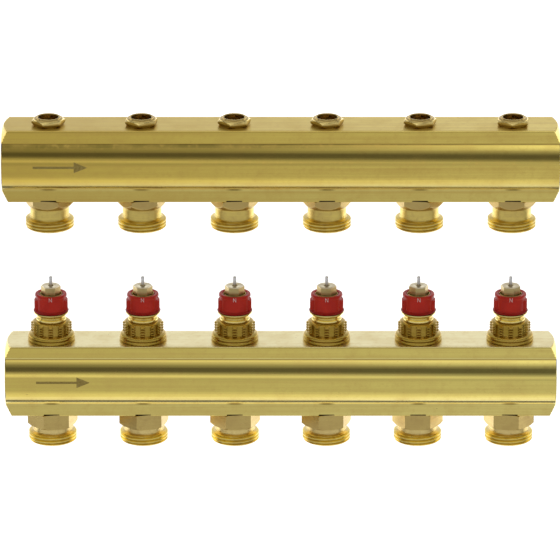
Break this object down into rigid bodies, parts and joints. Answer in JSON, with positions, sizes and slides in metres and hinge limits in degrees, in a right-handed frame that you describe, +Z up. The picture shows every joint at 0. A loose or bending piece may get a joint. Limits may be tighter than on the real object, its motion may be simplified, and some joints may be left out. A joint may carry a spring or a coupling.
{
  "type": "underfloor heating manifold",
  "caption": "Brass underfloor heating manifold: supply bar with shut-off inserts above a return bar with presetting valve inserts, each with threaded nipples below.",
  "frame": {"origin": "halfway between the axes of the two bars, at mid-length", "axes": "+X along the bars, -Y to the front, +Z up from the return bar to the supply bar"},
  "size_m": [0.3, 0.0372, 0.1853],
  "materials": {
    "supply_bar": "bright drawn brass, fine lengthwise streaks",
    "return_bar": "bright drawn brass, fine lengthwise streaks",
    "nipple": "turned brass, satin, with small marks",
    "shutoff_insert": "turned brass, satin",
    "shutoff_spindle": "turned brass, a little darkened",
    "valve_body": "turned brass, satin",
    "preset_ring": "moulded plastic, semi-gloss",
    "gland_nut": "turned brass, bright",
    "valve_pin": "ground stainless steel",
    "seal": "black rubber, matte"
  },
  "bodies": {
    "manifold": {"supply_bar": "supply_bar", "return_bar": "return_bar", "supply_nipple_1": "nipple", "supply_nipple_2": "nipple", "supply_nipple_3": "nipple", "supply_nipple_4": "nipple", "supply_nipple_5": "nipple", "supply_nipple_6": "nipple", "shutoff_insert_1": "shutoff_insert", "shutoff_insert_2": "shutoff_insert", "shutoff_insert_3": "shutoff_insert", "shutoff_insert_4": "shutoff_insert", "shutoff_insert_5": "shutoff_insert", "shutoff_insert_6": "shutoff_insert", "return_nipple_1": "nipple", "return_nipple_2": "nipple", "return_nipple_3": "nipple", "return_nipple_4": "nipple", "return_nipple_5": "nipple", "return_nipple_6": "nipple", "valve_body_1": "valve_body", "valve_body_2": "valve_body", "valve_body_3": "valve_body", "valve_body_4": "valve_body", "valve_body_5": "valve_body", "valve_body_6": "valve_body", "gland_nut_1": "gland_nut", "gland_nut_2": "gland_nut", "gland_nut_3": "gland_nut", "gland_nut_4": "gland_nut", "gland_nut_5": "gland_nut", "gland_nut_6": "gland_nut"},
    "plug_1": {"shutoff_plug_1": "shutoff_spindle"},
    "spindle_1": {"shutoff_spindle_1": "shutoff_spindle"},
    "preset_1": {"preset_ring_1": "preset_ring"},
    "pin_1": {"valve_pin_1": "valve_pin"},
    "plug_2": {"shutoff_plug_2": "shutoff_spindle"},
    "spindle_2": {"shutoff_spindle_2": "shutoff_spindle"},
    "preset_2": {"preset_ring_2": "preset_ring"},
    "pin_2": {"valve_pin_2": "valve_pin"},
    "plug_3": {"shutoff_plug_3": "shutoff_spindle"},
    "spindle_3": {"shutoff_spindle_3": "shutoff_spindle"},
    "preset_3": {"preset_ring_3": "preset_ring"},
    "pin_3": {"valve_pin_3": "valve_pin"},
    "plug_4": {"shutoff_plug_4": "shutoff_spindle"},
    "spindle_4": {"shutoff_spindle_4": "shutoff_spindle"},
    "preset_4": {"preset_ring_4": "preset_ring"},
    "pin_4": {"valve_pin_4": "valve_pin"},
    "plug_5": {"shutoff_plug_5": "shutoff_spindle"},
    "spindle_5": {"shutoff_spindle_5": "shutoff_spindle"},
    "preset_5": {"preset_ring_5": "preset_ring"},
    "pin_5": {"valve_pin_5": "valve_pin"},
    "plug_6": {"shutoff_plug_6": "shutoff_spindle"},
    "spindle_6": {"shutoff_spindle_6": "shutoff_spindle"},
    "preset_6": {"preset_ring_6": "preset_ring"},
    "pin_6": {"valve_pin_6": "valve_pin"}
  },
  "joints": [
    {"name": "shutoff_lift_1", "type": "slide", "parent": "manifold", "child": "plug_1", "axis": [0, 0, -1], "range_m": [0, 0.004]},
    {"name": "shutoff_turn_1", "type": "hinge", "parent": "plug_1", "child": "spindle_1", "pos_m": [-0.125, 0, 0.0774], "axis": [0, 0, -1], "range_deg": [0, 1440]},
    {"name": "preset_turn_1", "type": "hinge", "parent": "manifold", "child": "preset_1", "pos_m": [-0.125, 0, -0.0194], "axis": [0, 0, 1], "range_deg": [0, 280]},
    {"name": "pin_press_1", "type": "slide", "parent": "manifold", "child": "pin_1", "axis": [0, 0, -1], "range_m": [0, 0.003], "stiffness_N_per_m": 1500, "springref_m": -0.008},
    {"name": "shutoff_lift_2", "type": "slide", "parent": "manifold", "child": "plug_2", "axis": [0, 0, -1], "range_m": [0, 0.004]},
    {"name": "shutoff_turn_2", "type": "hinge", "parent": "plug_2", "child": "spindle_2", "pos_m": [-0.075, 0, 0.0774], "axis": [0, 0, -1], "range_deg": [0, 1440]},
    {"name": "preset_turn_2", "type": "hinge", "parent": "manifold", "child": "preset_2", "pos_m": [-0.075, 0, -0.0194], "axis": [0, 0, 1], "range_deg": [0, 280]},
    {"name": "pin_press_2", "type": "slide", "parent": "manifold", "child": "pin_2", "axis": [0, 0, -1], "range_m": [0, 0.003], "stiffness_N_per_m": 1500, "springref_m": -0.008},
    {"name": "shutoff_lift_3", "type": "slide", "parent": "manifold", "child": "plug_3", "axis": [0, 0, -1], "range_m": [0, 0.004]},
    {"name": "shutoff_turn_3", "type": "hinge", "parent": "plug_3", "child": "spindle_3", "pos_m": [-0.025, 0, 0.0774], "axis": [0, 0, -1], "range_deg": [0, 1440]},
    {"name": "preset_turn_3", "type": "hinge", "parent": "manifold", "child": "preset_3", "pos_m": [-0.025, 0, -0.0194], "axis": [0, 0, 1], "range_deg": [0, 280]},
    {"name": "pin_press_3", "type": "slide", "parent": "manifold", "child": "pin_3", "axis": [0, 0, -1], "range_m": [0, 0.003], "stiffness_N_per_m": 1500, "springref_m": -0.008},
    {"name": "shutoff_lift_4", "type": "slide", "parent": "manifold", "child": "plug_4", "axis": [0, 0, -1], "range_m": [0, 0.004]},
    {"name": "shutoff_turn_4", "type": "hinge", "parent": "plug_4", "child": "spindle_4", "pos_m": [0.025, 0, 0.0774], "axis": [0, 0, -1], "range_deg": [0, 1440]},
    {"name": "preset_turn_4", "type": "hinge", "parent": "manifold", "child": "preset_4", "pos_m": [0.025, 0, -0.0194], "axis": [0, 0, 1], "range_deg": [0, 280]},
    {"name": "pin_press_4", "type": "slide", "parent": "manifold", "child": "pin_4", "axis": [0, 0, -1], "range_m": [0, 0.003], "stiffness_N_per_m": 1500, "springref_m": -0.008},
    {"name": "shutoff_lift_5", "type": "slide", "parent": "manifold", "child": "plug_5", "axis": [0, 0, -1], "range_m": [0, 0.004]},
    {"name": "shutoff_turn_5", "type": "hinge", "parent": "plug_5", "child": "spindle_5", "pos_m": [0.075, 0, 0.0774], "axis": [0, 0, -1], "range_deg": [0, 1440]},
    {"name": "preset_turn_5", "type": "hinge", "parent": "manifold", "child": "preset_5", "pos_m": [0.075, 0, -0.0194], "axis": [0, 0, 1], "range_deg": [0, 280]},
    {"name": "pin_press_5", "type": "slide", "parent": "manifold", "child": "pin_5", "axis": [0, 0, -1], "range_m": [0, 0.003], "stiffness_N_per_m": 1500, "springref_m": -0.008},
    {"name": "shutoff_lift_6", "type": "slide", "parent": "manifold", "child": "plug_6", "axis": [0, 0, -1], "range_m": [0, 0.004]},
    {"name": "shutoff_turn_6", "type": "hinge", "parent": "plug_6", "child": "spindle_6", "pos_m": [0.125, 0, 0.0774], "axis": [0, 0, -1], "range_deg": [0, 1440]},
    {"name": "preset_turn_6", "type": "hinge", "parent": "manifold", "child": "preset_6", "pos_m": [0.125, 0, -0.0194], "axis": [0, 0, 1], "range_deg": [0, 280]},
    {"name": "pin_press_6", "type": "slide", "parent": "manifold", "child": "pin_6", "axis": [0, 0, -1], "range_m": [0, 0.003], "stiffness_N_per_m": 1500, "springref_m": -0.008}
  ],
  "couplings": [
    {"joint": "shutoff_turn_1", "follows": "shutoff_lift_1", "rad_per_m": 6283.2},
    {"joint": "shutoff_turn_2", "follows": "shutoff_lift_2", "rad_per_m": 6283.2},
    {"joint": "shutoff_turn_3", "follows": "shutoff_lift_3", "rad_per_m": 6283.2},
    {"joint": "shutoff_turn_4", "follows": "shutoff_lift_4", "rad_per_m": 6283.2},
    {"joint": "shutoff_turn_5", "follows": "shutoff_lift_5", "rad_per_m": 6283.2},
    {"joint": "shutoff_turn_6", "follows": "shutoff_lift_6", "rad_per_m": 6283.2}
  ]
}
